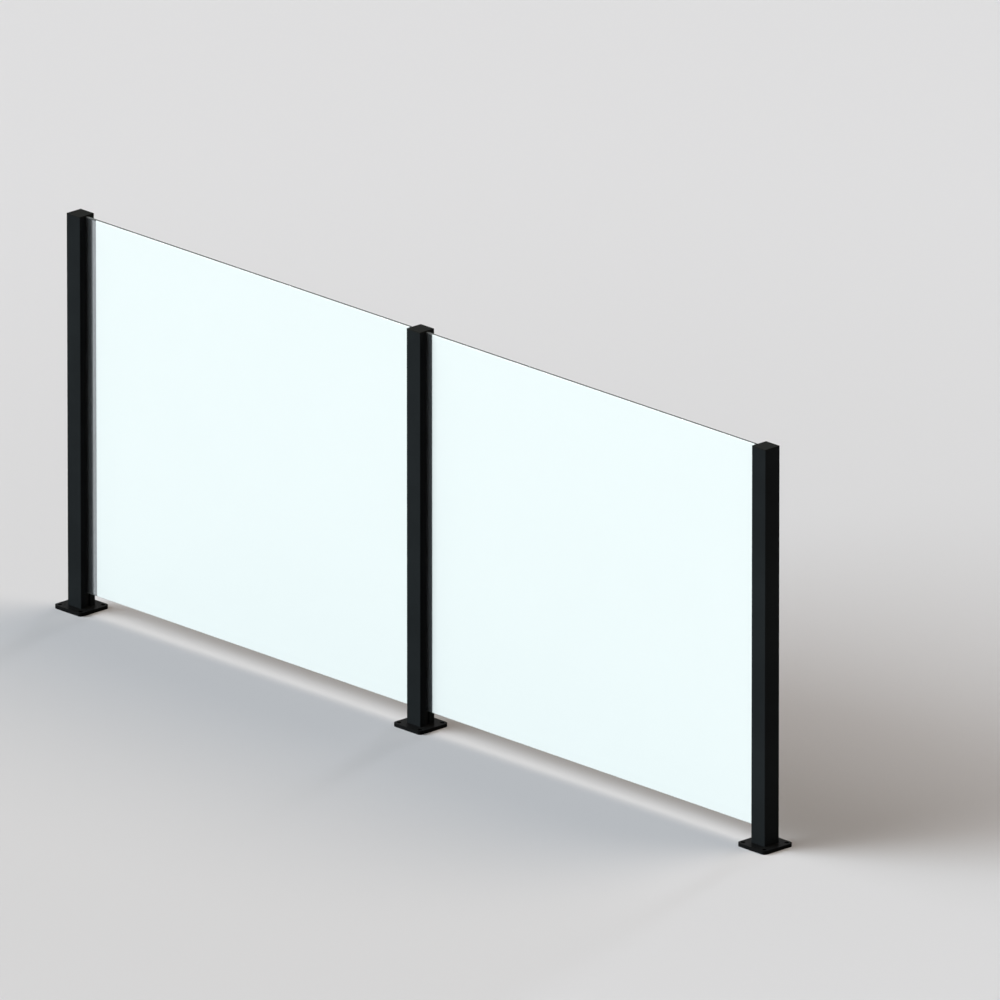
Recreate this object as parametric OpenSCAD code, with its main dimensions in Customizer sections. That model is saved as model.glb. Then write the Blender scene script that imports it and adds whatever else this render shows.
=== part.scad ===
// Glass fence panel: two bays of frameless glass, held in the slots of three square posts on base plates.
// Millimetres. The fence runs along X, +Z is up, and its front faces -Y.
// The origin is on the ground, under the centre of the middle post.

/* [Fence] */
// Distance between the centres of neighbouring posts
post_pitch = 1300; // [600:10:1800]
// Height of the top of the posts above the ground
fence_h = 1100; // [800:10:1800]
// Height of the lower edge of the glass above the ground
glass_gap = 50; // [40:1:120]

/* [Glass] */
// Thickness of the glass
glass_t = 10; // [8:1:13]
// Width of the ground bevel along the edges of the glass
glass_arris = 1.5; // [0.5:0.25:2]
// Distance that the glass reaches into a post
glass_bite = 12; // [10:0.5:13]
// Space between the glass and the cap above it
glass_top_clear = 1; // [0.5:0.5:3]

/* [Posts] */
// Outside width of a post
post_w = 51; // [48:1:60]
// Radius of the outer corners of a post
post_corner_r = 1; // [0.5:0.25:2.5]
// Thickness of the outer walls of a post
post_wall = 3; // [2.5:0.25:4]
// Thickness of the webs that line a glass slot
slot_web = 2.5; // [2:0.25:3]
// Space between the edge of the glass and the back of its slot
slot_end_clear = 3; // [2:0.5:4]
// Distance from the outer faces of a post to the centre of a screw port
port_inset = 6.5; // [6:0.25:8]
// Wall thickness around the bore of a screw port
port_wall = 1.4; // [1:0.1:2]

/* [Post caps] */
// Thickness of the plate of a cap
cap_t = 3; // [2:0.5:6]
// Bevel around the top of a cap
cap_bevel = 0.6; // [0.3:0.1:1]
// Depth of the plug under a cap
plug_h = 12; // [6:1:25]
// Space between a plug and the inside of its post
plug_clear = 0.3; // [0.1:0.1:0.6]

/* [Base plates] */
// Width of a square base plate
plate_w = 105; // [100:1:150]
// Thickness of a base plate
plate_t = 10; // [8:0.5:15]
// Radius of the corners of a base plate
plate_corner_r = 11; // [4:1:16]
// Diameter of an anchor hole
anchor_d = 12; // [9:0.5:14]
// Distance from the edges of a plate to the centre of an anchor hole
anchor_inset = 12.5; // [11:0.5:14]

/* [Foot screws] */
// Diameter of the shank of a foot screw
screw_d = 5; // [4:0.5:5.5]
// Length of a foot screw, head included
screw_l = 30; // [20:1:45]
// Diameter of the countersunk head of a foot screw
screw_head_d = 10; // [8:0.5:11]
// Depth of a screw head below the underside of its plate
screw_sink = 0.3; // [0.1:0.1:1]
// Space around a foot screw in its holes
screw_clear = 0.1; // [0.05:0.05:0.3]

/* [Gaskets] */
// Thickness of a gasket between the glass and the side of its slot
gasket_t = 3; // [2.5:0.25:4.5]
// Depth of a gasket in its slot
gasket_depth = 11; // [6:0.5:12]
// Distance that the lip of a gasket stands out of the post
lip_out = 1.5; // [1:0.25:3]
// Distance that the lip covers of the face beside the slot
lip_cover = 1; // [0.5:0.25:2.5]
// Bevel at the inner end of a gasket
gasket_tip = 1.5; // [0.5:0.25:2.5]

/* [Glass supports] */
// Thickness of the rubber pad under the glass
pad_t = 3; // [1:0.5:5]
// Distance of a support block behind the face of the post
block_recess = 5; // [2:0.5:7]
// Space around a support block in its slot
block_clear = 0.5; // [0.25:0.25:1]

/* [Hidden] */

$fn = 48;
// Extra length of a cutting shape past the face that it cuts
cut = 1;

// Where the posts stand, and which way their slots open: -1 to the left, 1 to the right
left_x = -post_pitch;
middle_x = 0;
right_x = post_pitch;
left_slots = [1];
middle_slots = [-1, 1];
right_slots = [-1];

// Heights above the ground
post_foot = plate_t;
post_top = fence_h - cap_t;
glass_top = post_top - glass_top_clear;
pad_foot = glass_gap - pad_t;

post_l = post_top - post_foot;
glass_w = post_pitch - post_w + 2 * glass_bite;
glass_h = glass_top - glass_gap;
gasket_l = post_top - glass_gap;

// A glass slot, measured from the centre of its post
slot_w = glass_t + 2 * gasket_t;
slot_depth = glass_bite + slot_end_clear;
slot_back = post_w / 2 - slot_depth;
web_back = slot_back - slot_web;
hollow_w = post_w - 2 * post_wall;

port_at = post_w / 2 - port_inset;
port_bore_r = screw_d / 2 + screw_clear;
port_r = port_bore_r + port_wall;
anchor_at = plate_w / 2 - anchor_inset;
head_h = (screw_head_d - screw_d) / 2;

// ---- Shapes that several pieces share ----

// A square in plan with rounded corners, centred on the origin
module rounded_square(width, r) {
    square([width, width - 2 * r], center = true);
    square([width - 2 * r, width], center = true);
    for (x = [-1, 1], y = [-1, 1])
        translate([x * (width / 2 - r), y * (width / 2 - r)])
            circle(r);
}

// A rectangle with all four corners bevelled, centred on the origin
module bevelled_rectangle(width, depth, bevel) {
    x = width / 2;
    y = depth / 2;
    polygon([
        [x, y - bevel], [x - bevel, y], [bevel - x, y], [-x, y - bevel],
        [-x, bevel - y], [bevel - x, -y], [x - bevel, -y], [x, bevel - y],
    ]);
}

// The outline of a plate seen from its edge, with its two upper corners bevelled
module bevelled_edge(width, thickness, bevel) {
    x = width / 2;
    polygon([
        [-x, 0], [x, 0], [x, thickness - bevel], [x - bevel, thickness],
        [bevel - x, thickness], [-x, thickness - bevel],
    ]);
}

// Puts its children at the four corners of a square
module at_corners(distance) {
    for (x = [-1, 1], y = [-1, 1])
        translate([x * distance, y * distance])
            children();
}

// Puts its children at the mouth of a slot, with +X pointing out of the slot
module at_slot(post_x, side) {
    translate([post_x, 0, 0])
        mirror([side < 0 ? 1 : 0, 0, 0])
            translate([post_w / 2, 0, 0])
                children();
}

// ---- Posts ----

// A rectangle in plan that is centred on y = 0 and spans two distances from the post's centre, on one side
module side_block(side, near, far, width) {
    translate([side * (near + far) / 2, 0])
        square([far - near, width], center = true);
}

// A post in plan: a square tube with a screw port in each corner and a lined slot on each side named
module post_section(slots) {
    difference() {
        union() {
            difference() {
                rounded_square(post_w, post_corner_r);
                square(hollow_w, center = true);
            }
            at_corners(port_at)
                circle(port_r);
            for (side = slots)
                side_block(side, web_back, (post_w - post_wall) / 2, slot_w + 2 * slot_web);
        }
        at_corners(port_at)
            circle(port_bore_r);
        for (side = slots)
            side_block(side, slot_back, post_w / 2 + cut, slot_w);
    }
}

module post(post_x, slots) {
    color("#22262a")
        translate([post_x, 0, post_foot])
            linear_extrude(post_l)
                post_section(slots);
}

// The plug of a cap fills the hollow between the screw ports, clear of the webs behind the slots
module cap_plug(slots) {
    wall_side = hollow_w / 2 - plug_clear;
    slot_side = web_back - plug_clear;
    x_min = len([for (side = slots) if (side < 0) side]) > 0 ? -slot_side : -wall_side;
    x_max = len([for (side = slots) if (side > 0) side]) > 0 ? slot_side : wall_side;
    y_max = port_at - port_r - plug_clear;
    translate([x_min, -y_max, -plug_h])
        cube([x_max - x_min, 2 * y_max, plug_h]);
}

module post_cap(post_x, slots) {
    color("#2a2c2c")
        translate([post_x, 0, post_top]) {
            intersection() {
                linear_extrude(cap_t)
                    rounded_square(post_w, post_corner_r);
                rotate([90, 0, 0])
                    linear_extrude(post_w + 2 * cut, center = true)
                        bevelled_edge(post_w, cap_t, cap_bevel);
                rotate([90, 0, 90])
                    linear_extrude(post_w + 2 * cut, center = true)
                        bevelled_edge(post_w, cap_t, cap_bevel);
            }
            cap_plug(slots);
        }
}

// ---- Feet ----

// A countersunk screw that points up, with its head's face on the origin, made larger all round by grow
module screw_shape(length, grow) {
    cylinder(h = length, r = screw_d / 2 + grow);
    cylinder(h = head_h, r1 = screw_head_d / 2 + grow, r2 = screw_d / 2 + grow);
}

module base_plate(post_x) {
    color("#1e2022")
        translate([post_x, 0, 0])
            difference() {
                linear_extrude(plate_t)
                    difference() {
                        rounded_square(plate_w, plate_corner_r);
                        at_corners(anchor_at)
                            circle(anchor_d / 2);
                    }
                at_corners(port_at) {
                    translate([0, 0, screw_sink])
                        screw_shape(plate_t + cut, screw_clear);
                    translate([0, 0, -cut])
                        cylinder(h = screw_sink + cut, r = screw_head_d / 2 + screw_clear);
                }
            }
}

module foot_screws(post_x) {
    color("#8d9196")
        translate([post_x, 0, screw_sink])
            at_corners(port_at)
                screw_shape(screw_l, 0);
}

// ---- Glass ----

// One sheet of glass with its left and right edges in the slots of two posts
module glass(bay_x) {
    color("#f1fdfe", 0.5)
        translate([bay_x, 0, glass_gap])
            intersection() {
                linear_extrude(glass_h)
                    bevelled_rectangle(glass_w, glass_t, glass_arris);
                translate([0, 0, glass_h / 2])
                    rotate([90, 0, 90])
                        linear_extrude(glass_w, center = true)
                            bevelled_rectangle(glass_t, glass_h, glass_arris);
            }
}

// A gasket in plan at the mouth of a slot: +X points out of the slot, and the glass lies at y = 0
module gasket_section() {
    polygon([
        [0, 0], [0, gasket_t], [gasket_tip - gasket_depth, gasket_t],
        [-gasket_depth, gasket_t - gasket_tip], [-gasket_depth, 0],
    ]);
    square([lip_out, gasket_t + lip_cover - lip_out]);
    intersection() {
        translate([0, gasket_t + lip_cover - lip_out])
            circle(lip_out);
        square([lip_out, gasket_t + lip_cover]);
    }
}

// A gasket in one slot: face is -1 in front of the glass and 1 behind it
module gasket(post_x, side, face) {
    color("#15171a")
        at_slot(post_x, side)
            mirror([0, face < 0 ? 1 : 0, 0])
                translate([0, glass_t / 2, glass_gap])
                    linear_extrude(gasket_l)
                        gasket_section();
}

// The room for a block or a pad in a slot, between two heights
module slot_filler(low, high) {
    length = slot_depth - block_recess - block_clear;
    width = slot_w - 2 * block_clear;
    translate([-block_recess - length, -width / 2, low])
        cube([length, width, high - low]);
}

module support_block(post_x, side) {
    color("#26282b")
        at_slot(post_x, side)
            slot_filler(plate_t, pad_foot);
}

module setting_pad(post_x, side) {
    color("#0f1012")
        at_slot(post_x, side)
            slot_filler(pad_foot, glass_gap);
}

// ---- Sub-parts ----

module left_base_plate() base_plate(left_x);
module middle_base_plate() base_plate(middle_x);
module right_base_plate() base_plate(right_x);

module left_post() post(left_x, left_slots);
module middle_post() post(middle_x, middle_slots);
module right_post() post(right_x, right_slots);

module left_post_cap() post_cap(left_x, left_slots);
module middle_post_cap() post_cap(middle_x, middle_slots);
module right_post_cap() post_cap(right_x, right_slots);

module left_foot_screws() foot_screws(left_x);
module middle_foot_screws() foot_screws(middle_x);
module right_foot_screws() foot_screws(right_x);

module left_glass() glass((left_x + middle_x) / 2);
module right_glass() glass((middle_x + right_x) / 2);

module left_post_front_gasket() gasket(left_x, 1, -1);
module left_post_rear_gasket() gasket(left_x, 1, 1);
module middle_post_left_front_gasket() gasket(middle_x, -1, -1);
module middle_post_left_rear_gasket() gasket(middle_x, -1, 1);
module middle_post_right_front_gasket() gasket(middle_x, 1, -1);
module middle_post_right_rear_gasket() gasket(middle_x, 1, 1);
module right_post_front_gasket() gasket(right_x, -1, -1);
module right_post_rear_gasket() gasket(right_x, -1, 1);

module left_post_support_block() support_block(left_x, 1);
module middle_post_left_support_block() support_block(middle_x, -1);
module middle_post_right_support_block() support_block(middle_x, 1);
module right_post_support_block() support_block(right_x, -1);

module left_post_setting_pad() setting_pad(left_x, 1);
module middle_post_left_setting_pad() setting_pad(middle_x, -1);
module middle_post_right_setting_pad() setting_pad(middle_x, 1);
module right_post_setting_pad() setting_pad(right_x, -1);

left_base_plate();
middle_base_plate();
right_base_plate();
left_post();
middle_post();
right_post();
left_post_cap();
middle_post_cap();
right_post_cap();
left_foot_screws();
middle_foot_screws();
right_foot_screws();
left_glass();
right_glass();
left_post_front_gasket();
left_post_rear_gasket();
middle_post_left_front_gasket();
middle_post_left_rear_gasket();
middle_post_right_front_gasket();
middle_post_right_rear_gasket();
right_post_front_gasket();
right_post_rear_gasket();
left_post_support_block();
middle_post_left_support_block();
middle_post_right_support_block();
right_post_support_block();
left_post_setting_pad();
middle_post_left_setting_pad();
middle_post_right_setting_pad();
right_post_setting_pad();
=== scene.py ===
import math

import bpy
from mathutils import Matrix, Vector

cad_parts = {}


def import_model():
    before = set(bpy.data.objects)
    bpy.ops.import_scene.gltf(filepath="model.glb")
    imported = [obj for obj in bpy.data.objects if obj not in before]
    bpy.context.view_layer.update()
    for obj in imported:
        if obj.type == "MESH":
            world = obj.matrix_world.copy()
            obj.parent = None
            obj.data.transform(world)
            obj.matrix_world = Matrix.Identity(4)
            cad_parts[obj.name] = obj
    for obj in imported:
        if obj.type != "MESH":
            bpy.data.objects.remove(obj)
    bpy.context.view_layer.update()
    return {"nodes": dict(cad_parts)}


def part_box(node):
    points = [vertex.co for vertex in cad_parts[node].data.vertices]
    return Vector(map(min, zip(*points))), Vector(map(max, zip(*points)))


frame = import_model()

NODES = frame["nodes"]

# Angles of the camera in degrees, and the width in metres that it shows at the fence
VIEW_AZIMUTH = 46.422
VIEW_ELEVATION = 19.020
VIEW_WIDTH = 2.6179
# Where the middle of the picture lies, right of and above the foot of the middle post
VIEW_RIGHT = 0.2077
VIEW_UP = 0.5919
# A lens so long, in millimetres, that the view has hardly any perspective
LENS = 1600.0
SENSOR = 36.0
CLIP_START = 1.0

# Each lamp: the direction towards it, the light that it gives a face turned to it, its colour,
# and its width in degrees
LAMPS = {
    "key": ((-0.59, -0.55, 0.59), 0.64, (1.00, 1.00, 1.02), 65.0),
    "front_fill": ((-0.68, -0.67, 0.30), 0.88, (0.88, 1.0, 1.06), 43.0),
    "back": ((0.30, 0.49, 0.82), 0.325, (1.13, 1.0, 0.87), 41.0),
    "rear_fill": ((-0.30, 0.95, 0.06), 0.63, (0.93, 1.0, 1.10), 8.0),
}
# Faint light from all round
SKY = (0.015, 0.012, 0.01)

# Colour of the floor near the fence and far from it, and the distances between which it changes
FLOOR = (0.715, 0.715, 0.725)
FAR_FLOOR = (0.765, 0.765, 0.778)
FLOOR_NEAR = 1.0
FLOOR_FAR = 5.0
# How the far floor looks in this light, which the world shows past its end
FAR_SEEN = (0.738, 0.738, 0.738)
# Share of its brightness that the floor throws on to the fence
FLOOR_BOUNCE = 0.4
FLOOR_RADIUS = 90.0
FLOOR_SIDES = 96

# Height of the powder coat's orange peel, as a share of the height of its grains
PEEL_SHARE = 0.6

# Width of the clear strip beside the left post, of the one right of the middle post, and of those
# left of the middle and right posts, which the posts hide from the camera
CLEAR_LEFT = 0.040
CLEAR_MIDDLE = 0.0245
CLEAR_HIDDEN = 0.012
# A surface of the glass is a ground edge if less than this of its normal points to the front or back
FACE_TURN = 0.6
# The glass's icy white: the two colours that it drifts between, and its least and greatest roughness
ICY_WHITE = ((0.90, 0.95, 0.92), (0.916, 0.966, 0.936))
WHITE_ROUGHNESS = (0.14, 0.2)
# Its ground edges: the two colours of their grain, and their roughness
GROUND_EDGE = ((0.060, 0.070, 0.067), (0.092, 0.102, 0.099))
EDGE_ROUGHNESS = 0.75
# Its clear strips: their colour, roughness and transmission, and what they leave of a lamp's light
CLEAR_TINT = (0.45, 0.485, 0.50)
CLEAR_ROUGHNESS = 0.02
CLEAR_TRANSMISSION = 0.89
LAMP_TINT = (0.65, 0.68, 0.69)
GLASS_IOR = 1.5


# ---- Node helpers ----

# The sockets of a Mix node that take its two values and give its result
MIX_SOCKETS = {"FLOAT": (2, 3, 0), "RGBA": (6, 7, 2)}


def link(tree, value, socket):
    """Feeds a socket from another, or sets it to a number or a colour."""
    if isinstance(value, bpy.types.NodeSocket):
        tree.links.new(value, socket)
    elif isinstance(value, tuple) and len(value) == 3 and socket.type == "RGBA":
        socket.default_value = (*value, 1)
    else:
        socket.default_value = value


def shade(colour, share):
    return tuple(c * share for c in colour)


def math_node(tree, operation, *values):
    node = tree.nodes.new("ShaderNodeMath")
    node.operation = operation
    for value, socket in zip(values, node.inputs):
        link(tree, value, socket)
    return node.outputs[0]


def mix(tree, kind, factor, a, b):
    node = tree.nodes.new("ShaderNodeMix")
    node.data_type = kind
    socket_a, socket_b, result = MIX_SOCKETS[kind]
    link(tree, factor, node.inputs[0])
    link(tree, a, node.inputs[socket_a])
    link(tree, b, node.inputs[socket_b])
    return node.outputs[result]


def mix_value(tree, factor, a, b):
    return mix(tree, "FLOAT", factor, a, b)


def mix_colour(tree, factor, a, b):
    return mix(tree, "RGBA", factor, a, b)


def mix_shader(tree, factor, a, b, output):
    """Shows shader a where the factor is 0, and shader b where it is 1."""
    node = tree.nodes.new("ShaderNodeMixShader")
    link(tree, factor, node.inputs[0])
    link(tree, a.outputs[0], node.inputs[1])
    link(tree, b.outputs[0], node.inputs[2])
    link(tree, node.outputs[0], output.inputs["Surface"])


def scale_colour(tree, colour, factor):
    node = tree.nodes.new("ShaderNodeVectorMath")
    node.operation = "SCALE"
    link(tree, colour, node.inputs[0])
    link(tree, factor, node.inputs["Scale"])
    return node.outputs[0]


def spread(tree, value, to_low, to_high, low=0.3, high=0.7):
    """Maps a value smoothly to a range, which it never leaves. Most of a noise lies from 0.3 to 0.7."""
    node = tree.nodes.new("ShaderNodeMapRange")
    node.interpolation_type = "SMOOTHSTEP"
    for number, socket in zip((value, low, high, to_low, to_high), node.inputs):
        link(tree, number, socket)
    return node.outputs[0]


def object_point(tree, stretch=(1, 1, 1)):
    coords = tree.nodes.new("ShaderNodeTexCoord")
    mapping = tree.nodes.new("ShaderNodeMapping")
    mapping.inputs["Scale"].default_value = stretch
    link(tree, coords.outputs["Object"], mapping.inputs["Vector"])
    return mapping.outputs[0]


def noise(tree, waves, detail=2.0, roughness=0.5, stretch=(1, 1, 1)):
    """A noise pattern with so many waves to a metre."""
    node = tree.nodes.new("ShaderNodeTexNoise")
    link(tree, object_point(tree, stretch), node.inputs["Vector"])
    link(tree, waves, node.inputs["Scale"])
    link(tree, detail, node.inputs["Detail"])
    link(tree, roughness, node.inputs["Roughness"])
    return node.outputs[0]


def bump(tree, height, depth):
    node = tree.nodes.new("ShaderNodeBump")
    link(tree, depth, node.inputs["Distance"])
    link(tree, height, node.inputs["Height"])
    return node.outputs[0]


def axis_of(tree, vector, axis):
    node = tree.nodes.new("ShaderNodeSeparateXYZ")
    link(tree, vector, node.inputs[0])
    return node.outputs[axis]


def seen_rays(tree):
    """1 for rays that show a surface as it looks: from the camera, a mirror or glass."""
    path = tree.nodes.new("ShaderNodeLightPath")
    total = path.outputs["Is Camera Ray"]
    for name in ("Is Glossy Ray", "Is Transmission Ray"):
        total = math_node(tree, "MAXIMUM", total, path.outputs[name])
    return total


def material(name):
    mat = bpy.data.materials.new(name)
    mat.use_nodes = True
    return mat, mat.node_tree, mat.node_tree.nodes["Principled BSDF"]


def surface(tree, bsdf, colour, roughness, height, depth):
    """Gives a shader its colour, its roughness and a relief of some depth in metres."""
    link(tree, colour, bsdf.inputs["Base Color"])
    link(tree, roughness, bsdf.inputs["Roughness"])
    link(tree, bump(tree, height, depth), bsdf.inputs["Normal"])


# ---- Camera, light and floor ----

def camera():
    azimuth, elevation = math.radians(VIEW_AZIMUTH), math.radians(VIEW_ELEVATION)
    back = Vector((math.sin(azimuth) * math.cos(elevation),
                   -math.cos(azimuth) * math.cos(elevation),
                   math.sin(elevation)))
    right = Vector((math.cos(azimuth), math.sin(azimuth), 0))
    up = back.cross(right)
    distance = VIEW_WIDTH / 2 / (SENSOR / 2 / LENS)
    data = bpy.data.cameras.new("camera")
    data.lens, data.sensor_width = LENS, SENSOR
    data.clip_start, data.clip_end = CLIP_START, 2 * distance
    cam = bpy.data.objects.new("camera", data)
    cam.location = right * VIEW_RIGHT + up * VIEW_UP + back * distance
    cam.rotation_mode = "QUATERNION"
    cam.rotation_quaternion = (-back).to_track_quat("-Z", "Y")
    bpy.context.scene.collection.objects.link(cam)
    bpy.context.scene.camera = cam


def lamp(name, direction, light, colour, width):
    data = bpy.data.lights.new(name, "SUN")
    data.energy = math.pi * light
    data.color = colour
    data.angle = math.radians(width)
    # A lamp's light then comes by shadow rays alone, and the white glass stops those
    data.cycles.use_multiple_importance_sampling = False
    sun = bpy.data.objects.new(name, data)
    sun.rotation_mode = "QUATERNION"
    sun.rotation_quaternion = Vector(direction).to_track_quat("Z", "Y")
    bpy.context.scene.collection.objects.link(sun)


def background(tree, colour):
    node = tree.nodes.new("ShaderNodeBackground")
    link(tree, colour, node.inputs["Color"])
    return node


def world():
    sky = bpy.data.worlds.new("world")
    bpy.context.scene.world = sky
    sky.use_nodes = True
    tree = sky.node_tree
    tree.nodes.clear()
    output = tree.nodes.new("ShaderNodeOutputWorld")
    mix_shader(tree, seen_rays(tree), background(tree, SKY), background(tree, FAR_SEEN), output)


def floor():
    mesh = bpy.data.meshes.new("floor")
    turns = [2 * math.pi * i / FLOOR_SIDES for i in range(FLOOR_SIDES)]
    ring = [(FLOOR_RADIUS * math.cos(turn), FLOOR_RADIUS * math.sin(turn), 0) for turn in turns]
    mesh.from_pydata(ring, [], [tuple(range(FLOOR_SIDES))])
    obj = bpy.data.objects.new("floor", mesh)
    bpy.context.scene.collection.objects.link(obj)
    mat, tree, bsdf = material("floor")
    bsdf.inputs["Roughness"].default_value = 1.0
    bsdf.inputs["Specular IOR Level"].default_value = 0.0
    away = tree.nodes.new("ShaderNodeVectorMath")
    away.operation = "LENGTH"
    link(tree, object_point(tree), away.inputs[0])
    far = spread(tree, away.outputs["Value"], 0.0, 1.0, low=FLOOR_NEAR, high=FLOOR_FAR)
    pale = mix_colour(tree, far, FLOOR, FAR_FLOOR)
    dim = shade(FLOOR, FLOOR_BOUNCE)
    link(tree, mix_colour(tree, seen_rays(tree), dim, pale), bsdf.inputs["Base Color"])
    mesh.materials.append(mat)


# ---- Materials ----

def powder_coat(name, colour, roughness, level):
    """Satin powder coat: grains about half a millimetre across, on a slow drift in tone and gloss."""
    mat, tree, bsdf = material(name)
    grain = noise(tree, waves=1500.0, roughness=0.55)
    peel = noise(tree, waves=260.0, roughness=0.45)
    drift = noise(tree, waves=5.0, detail=3.0, roughness=0.55)
    tone = mix_colour(tree, spread(tree, drift, 0.0, 1.0), shade(colour, 0.9), shade(colour, 1.1))
    speck = spread(tree, grain, 0.78, 1.22, low=0.35, high=0.65)
    gloss = math_node(tree, "ADD", spread(tree, drift, -0.03, 0.03), spread(tree, grain, 0.05, -0.07))
    relief = math_node(tree, "MULTIPLY_ADD", peel, PEEL_SHARE, grain)
    surface(tree, bsdf, scale_colour(tree, tone, speck), math_node(tree, "ADD", gloss, roughness),
            relief, depth=0.00016)
    bsdf.inputs["Specular IOR Level"].default_value = level
    return mat


def rubber(name, colour, roughness):
    """Extruded rubber: faint lines along its length and a dull bloom."""
    mat, tree, bsdf = material(name)
    lines = noise(tree, waves=900.0, stretch=(1, 1, 0.01))
    bloom = noise(tree, waves=40.0, detail=3.0, roughness=0.6)
    tone = mix_colour(tree, spread(tree, bloom, 0.0, 1.0, low=0.35, high=0.75), colour, shade(colour, 1.35))
    surface(tree, bsdf, tone, spread(tree, bloom, roughness - 0.05, roughness + 0.08), lines, depth=0.00006)
    bsdf.inputs["Specular IOR Level"].default_value = 0.06
    return mat


def moulded_plastic(name, colour):
    """Moulded plastic with a fine spark texture."""
    mat, tree, bsdf = material(name)
    spark = noise(tree, waves=1800.0, roughness=0.6)
    tone = mix_colour(tree, spark, shade(colour, 0.85), shade(colour, 1.15))
    surface(tree, bsdf, tone, spread(tree, spark, 0.5, 0.62), spark, depth=0.00005)
    bsdf.inputs["Specular IOR Level"].default_value = 0.08
    return mat


def screw_steel(name, colour):
    """Zinc-plated steel with a fine turned grain."""
    mat, tree, bsdf = material(name)
    grain = noise(tree, waves=700.0, detail=3.0, roughness=0.6, stretch=(1, 1, 8))
    stain = noise(tree, waves=120.0, detail=3.0, roughness=0.6)
    tone = mix_colour(tree, stain, shade(colour, 0.85), colour)
    surface(tree, bsdf, tone, spread(tree, grain, 0.28, 0.42), grain, depth=0.00003)
    bsdf.inputs["Metallic"].default_value = 1.0
    return mat


def glass(name, white_from, white_to):
    """Toughened glass, icy white between two places along X, clear past them, and ground at its edges.

    Its bevels look as its faces do."""
    mat, tree, bsdf = material(name)
    coords = tree.nodes.new("ShaderNodeTexCoord")
    x = axis_of(tree, coords.outputs["Object"], "X")
    turn = math_node(tree, "ABSOLUTE", axis_of(tree, coords.outputs["Normal"], "Y"))
    face = math_node(tree, "GREATER_THAN", turn, FACE_TURN)
    field = math_node(tree, "MULTIPLY", math_node(tree, "GREATER_THAN", x, white_from),
                      math_node(tree, "LESS_THAN", x, white_to))
    clear = math_node(tree, "MULTIPLY", face, math_node(tree, "SUBTRACT", 1.0, field))
    frost = noise(tree, waves=1500.0)
    cloud = noise(tree, waves=2.5)

    body = mix_colour(tree, clear, mix_colour(tree, cloud, *ICY_WHITE), CLEAR_TINT)
    edge = mix_colour(tree, frost, *GROUND_EDGE)
    link(tree, mix_colour(tree, face, edge, body), bsdf.inputs["Base Color"])
    matt = mix_value(tree, clear, spread(tree, frost, *WHITE_ROUGHNESS), CLEAR_ROUGHNESS)
    link(tree, mix_value(tree, face, EDGE_ROUGHNESS, matt), bsdf.inputs["Roughness"])
    transmission = math_node(tree, "MULTIPLY", clear, CLEAR_TRANSMISSION)
    link(tree, transmission, bsdf.inputs["Transmission Weight"])
    bsdf.inputs["IOR"].default_value = GLASS_IOR

    # Lamps shine through the clear strips
    path, hole = tree.nodes.new("ShaderNodeLightPath"), tree.nodes.new("ShaderNodeBsdfTransparent")
    link(tree, LAMP_TINT, hole.inputs["Color"])
    let_through = math_node(tree, "MULTIPLY", path.outputs["Is Shadow Ray"], clear)
    mix_shader(tree, let_through, bsdf, hole, tree.nodes["Material Output"])
    return mat


# ---- The fence ----

def dress(obj, mat):
    obj.material_slots[0].material = mat


# The finish of each node but the glass, by how the node's name ends; the base plates' colour also holds
# painted shade
FINISHES = {
    # Painted shade: the base plates' coat is darker than the posts' coat, so it carries the shade of the
    # posts' feet and the ground as well as the plates' own black
    "_base_plate": powder_coat("plate_coat", (0.0088, 0.0091, 0.0091), roughness=0.3, level=0.01),
    "_post": powder_coat("post_coat", (0.0148, 0.0172, 0.0181), roughness=0.35, level=0.012),
    "_post_cap": powder_coat("cap_coat", (0.0170, 0.0178, 0.0166), roughness=0.5, level=0.006),
    "_foot_screws": screw_steel("screw_steel", (0.55, 0.56, 0.58)),
    "_gasket": rubber("gasket_rubber", (0.006, 0.0064, 0.0068), roughness=0.6),
    "_support_block": moulded_plastic("block_plastic", (0.0075, 0.0078, 0.0075)),
    "_setting_pad": rubber("pad_rubber", (0.006, 0.0065, 0.007), roughness=0.65),
}
for name, obj in NODES.items():
    for ending, finish in FINISHES.items():
        if name.endswith(ending):
            dress(obj, finish)

left_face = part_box("left_post")[1][0]
middle_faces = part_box("middle_post")[0][0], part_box("middle_post")[1][0]
right_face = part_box("right_post")[0][0]
dress(NODES["left_glass"], glass("left_glass", left_face + CLEAR_LEFT, middle_faces[0] - CLEAR_HIDDEN))
dress(NODES["right_glass"], glass("right_glass", middle_faces[1] + CLEAR_MIDDLE, right_face - CLEAR_HIDDEN))
# As clear glass does, the sheets stop no light that comes by way of the floor
for name in ("left_glass", "right_glass"):
    NODES[name].visible_diffuse = False

camera()
world()
floor()
for name, settings in LAMPS.items():
    lamp(name, *settings)
bpy.context.scene.view_settings.view_transform = "Standard"
